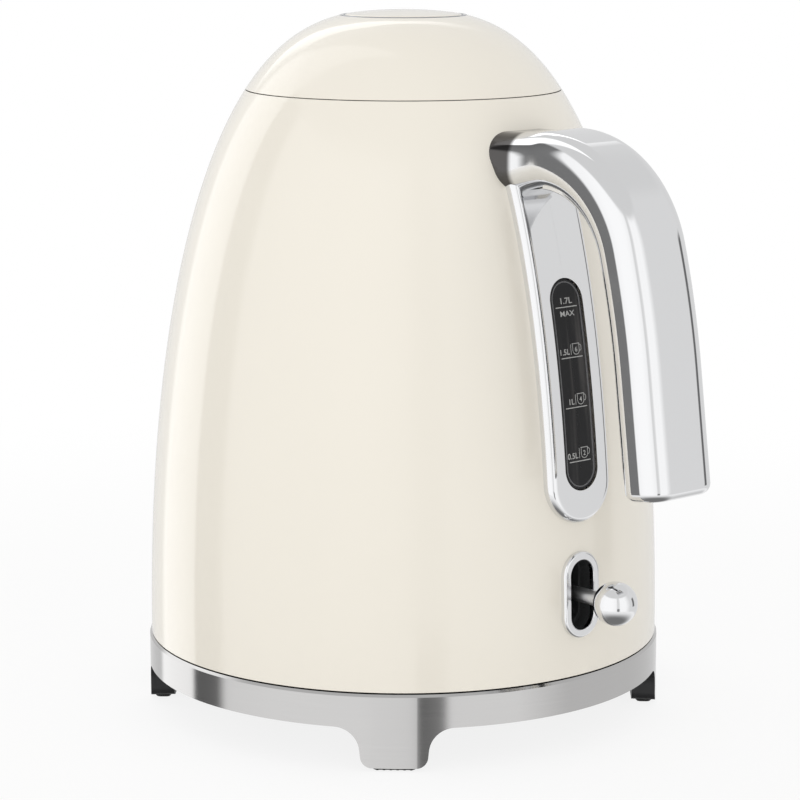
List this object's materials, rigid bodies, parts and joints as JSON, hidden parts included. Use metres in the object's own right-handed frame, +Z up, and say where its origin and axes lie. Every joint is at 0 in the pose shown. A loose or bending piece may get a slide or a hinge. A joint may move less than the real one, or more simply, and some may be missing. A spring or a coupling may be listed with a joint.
{
  "type": "electric kettle",
  "caption": "Domed electric jug kettle on a swivelling power base, with a bright C-handle, level window, switch lever, sprung lid and pouring beak.",
  "frame": {"origin": "on the floor under the kettle's upright axis", "axes": "+Z up, +X towards the handle, -X towards the beak"},
  "size_m": [0.2315, 0.1834, 0.248],
  "materials": {
    "cream_paint": "gloss cream paint",
    "bright_metal": "polished, plated",
    "base_metal": "satin polished",
    "stainless": "satin stainless sheet",
    "dark_plastic": "fine grained",
    "grey_plastic": "fine grained",
    "cream_plastic": "gloss, matched to the paint",
    "smoked_lens": "clear smoked plastic with printed level marks",
    "rubber": "soft grey-black",
    "silicone": "translucent silicone",
    "aluminium": "rolled",
    "brass": "bare contact brass",
    "screw_steel": "zinc plated",
    "spring_steel": "drawn wire"
  },
  "bodies": {
    "base": {"base_ring": "base_metal", "foot_pads": "rubber", "base_deck": "dark_plastic", "base_bottom_cover": "dark_plastic", "base_connector": "dark_plastic", "base_contacts": "brass", "cord_gland": "rubber", "base_screws": "screw_steel"},
    "dock": {"connector_socket": "dark_plastic"},
    "kettle": {"bottom_cover": "dark_plastic", "bottom_screws": "screw_steel", "element_plate": "stainless", "element_seal": "silicone", "heat_spreader": "aluminium", "heating_element": "aluminium", "thermostat_control": "grey_plastic", "bimetal_disc": "brass", "steam_tube": "grey_plastic", "body_shell": "cream_paint", "pouring_beak": "cream_paint", "level_window": "smoked_lens", "window_gasket": "silicone", "backplate": "bright_metal", "handle_shell": "bright_metal", "handle_inner_cover": "bright_metal", "handle_screws": "screw_steel", "lever_bezel": "bright_metal", "slot_liner": "dark_plastic", "lever_bracket": "grey_plastic", "lever_pivot_pin": "screw_steel", "mouth_ring": "stainless", "lid_hinge_bracket": "stainless", "lid_hinge_pin": "screw_steel", "lid_spring": "spring_steel"},
    "lid": {"lid_shell": "cream_paint", "lid_liner": "grey_plastic", "lid_button_collar": "bright_metal", "lid_hinge_arm": "stainless", "button_spring": "spring_steel"},
    "button": {"lid_button": "cream_plastic"},
    "latch": {"latch_bolt": "grey_plastic"},
    "lever": {"lever_rocker": "dark_plastic", "lever_stem": "bright_metal", "lever_knob": "bright_metal"},
    "filter": {"filter_frame": "grey_plastic", "filter_mesh": "stainless"}
  },
  "joints": [
    {"name": "kettle_lift", "type": "slide", "parent": "base", "child": "dock", "axis": [0, 0, 1], "range_m": [0, 0.08]},
    {"name": "kettle_swivel", "type": "hinge", "parent": "dock", "child": "kettle", "pos_m": [0, 0, 0.044], "axis": [0, 0, 1], "continuous": true},
    {"name": "lid_hinge", "type": "hinge", "parent": "kettle", "child": "lid", "pos_m": [0.04122, 0, 0.23], "axis": [0, 1, 0], "range_deg": [0, 70]},
    {"name": "lid_button_press", "type": "slide", "parent": "lid", "child": "button", "axis": [0, 0, -1], "range_m": [0, 0.003], "stiffness_N_per_m": 900, "deforming": ["button_spring"]},
    {"name": "latch_slide", "type": "slide", "parent": "lid", "child": "latch", "axis": [1, 0, 0], "range_m": [0, 0.003]},
    {"name": "lever_rock", "type": "hinge", "parent": "kettle", "child": "lever", "pos_m": [0.066, 0, 0.0553], "axis": [0, 1, 0], "range_deg": [-10, 10]},
    {"name": "filter_tip", "type": "hinge", "parent": "kettle", "child": "filter", "pos_m": [-0.052, 0, 0.185], "axis": [0, 1, 0], "range_deg": [0, 30]}
  ],
  "couplings": [
    {"joint": "latch_slide", "follows": "lid_button_press", "ratio": 1}
  ]
}
